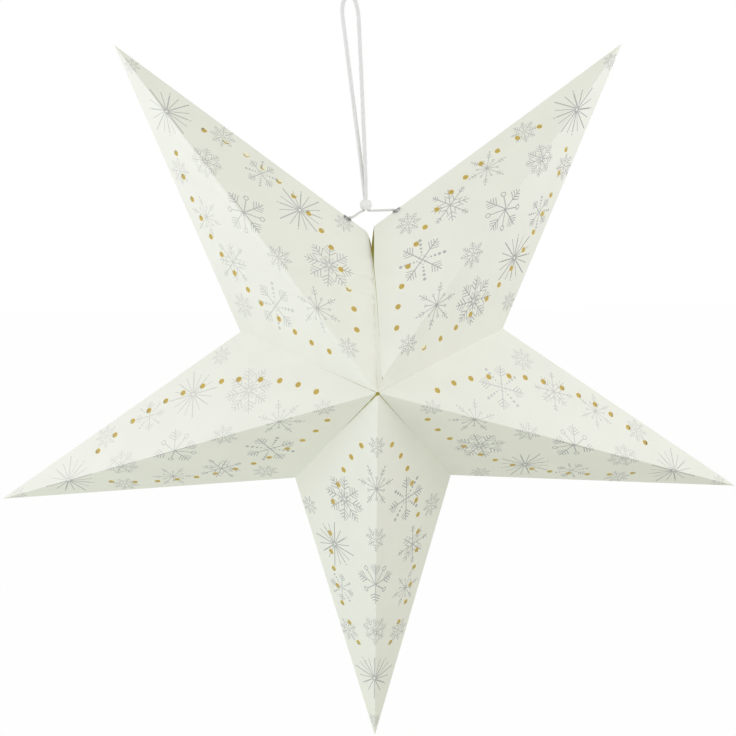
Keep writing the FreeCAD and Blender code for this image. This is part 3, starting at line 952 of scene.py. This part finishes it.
def tie_route(number):
    """From the stopper knot out through the eyelet, across to the bead and up into its bore."""
    place, outwards, to_seam = eyelet_place(number)
    side, lift = (1.0, 1.0) if number == 0 else (-1.0, 0.8)
    # The last three places lie under the bead, on the cord's own side, and in its bore
    last = [(BEAD_MIDDLE.x + side * x, 0.0, BEAD_MIDDLE.z - z) for x, z in ((3.4, 4.6), (1.2, 4.7), (1.1, 2.1))]
    return [place - outwards * 4.2, place - outwards * 1.0, place + outwards * lift + to_seam * 0.9,
            place + outwards * 2.0 + to_seam * 2.9] + last


bead = round_bead()
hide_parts("bead")
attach(bead, "hanger")
for number, name, body in ((0, "tie_cord_right", "hanger"), (FACES - 1, "tie_cord_left", "left_tie")):
    line = spline(name + "_line", tie_route(number))
    tie = grown(line, strands, {
        "Strands": 3, "Each way": 3, "Centre radius": 0.46 * MM, "Weave": 0.0, "Strand radius": 0.50 * MM,
        "Turn length": 5.0 * MM, "Step": 0.25 * MM, "Every": 9, "Core radius": 0.3 * MM, "Squeezed": 1.0,
        "Yarn": TIE_YARN, "Second yarn": TIE_YARN}, "twisted_" + name)
    drop(line)
    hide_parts(name)
    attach(tie, body)
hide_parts("hanging_loop")
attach(loop, "hanger")


# Floor, lamps, world and camera
def seen_directly(tree):
    """1 for rays that come from the camera, off gloss or through glass, and 0 for the rest."""
    rays = tree.nodes.new("ShaderNodeLightPath").outputs
    both = maths(tree, "ADD", rays["Is Camera Ray"], rays["Is Glossy Ray"])
    return maths(tree, "ADD", both, rays["Is Transmission Ray"], clamp=True)


def lamp(name, kind, lay, power, colour, **settings):
    """A lamp that can't be seen itself."""
    data = bpy.data.lights.new(name, kind)
    data.energy, data.color = power, colour
    for key, value in settings.items():
        setattr(data, key, value)
    holder = placed(name, data)
    holder.matrix_world = lay
    holder.visible_camera = False


def studio():
    bpy.ops.mesh.primitive_plane_add(size=30.0, location=(0.0, 0.0, -2.0))
    floor = bpy.context.object
    floor.name = "floor"
    material, tree, shader = finish("floor_white", (0.9, 0.9, 0.9), 0.9)
    glow = add_node(tree, "ShaderNodeEmission", {"Color": (1.0, 1.0, 1.0, 1.0), "Strength": 1.0}).outputs[0]
    share = maths(tree, "MULTIPLY", seen_directly(tree), 0.97)
    mix = add_node(tree, "ShaderNodeMixShader", {0: share, 1: shader.outputs[0], 2: glow})
    tree.links.new(mix.outputs[0], tree.nodes["Material Output"].inputs["Surface"])
    floor.data.materials.append(material)
    world = bpy.data.worlds.new("white_room")
    bpy.context.scene.world = world
    world.use_nodes = True
    tree = world.node_tree
    light = tree.nodes["Background"]
    light.inputs["Color"].default_value = (0.985, 1.0, 0.915, 1.0)
    light.inputs["Strength"].default_value = 0.742
    white = add_node(tree, "ShaderNodeBackground", {"Color": (1.0, 1.0, 1.0, 1.0), "Strength": 1.0}).outputs[0]
    mix = add_node(tree, "ShaderNodeMixShader", {0: seen_directly(tree), 1: light.outputs[0], 2: white})
    tree.links.new(mix.outputs[0], tree.nodes["World Output"].inputs["Surface"])
    middle = STAR_MIDDLE * MM
    for name, place, power, size, colour in (
            ("left_softbox", (-0.576, -0.317, 0.225), 1.17, 0.35, (0.80, 0.78, 1.0)),
            ("low_softbox", (-0.631, -0.300, -0.826), 1.21, 0.45, (0.86, 0.94, 1.0)),
            ("right_softbox", (0.524, -0.300, 0.297), 0.97, 0.30, (0.86, 0.81, 1.0))):
        place = Vector(place) + middle
        lay = Matrix.Translation(place) @ (middle - place).to_track_quat("-Z", "Y").to_matrix().to_4x4()
        lamp(name, "AREA", lay, power, colour, shape="SQUARE", size=size)
    # The little daylight that comes through the card into the hollow star
    lamp("inner_fill", "POINT", Matrix.Translation(middle), 0.17, (0.62, 1.0, 0.95), shadow_soft_size=0.03)


def camera():
    """The photograph's view: a turn from straight ahead, and a focal length of 1.437 picture widths."""
    turn = Vector((9.93, -2.08, -0.61))
    ahead = Matrix.Rotation(math.radians(turn.length), 3, turn.normalized())
    ahead = ahead @ Matrix(((1, 0, 0), (0, 0, -1), (0, 1, 0)))
    rows = ahead.row
    basis = Matrix((rows[0], -rows[1], -rows[2])).transposed()
    data = bpy.data.cameras.new("camera")
    data.sensor_width, data.sensor_fit, data.lens = 36.0, "HORIZONTAL", 1.437 * 36.0
    data.clip_start, data.clip_end = 0.05, 60.0
    holder = placed("camera", data)
    holder.matrix_world = Matrix.Translation(Vector((-18.12, -833.17, -134.30)) * MM) @ basis.to_4x4()
    bpy.context.scene.camera = holder


studio()
camera()
bpy.context.scene.view_settings.view_transform = "Standard"
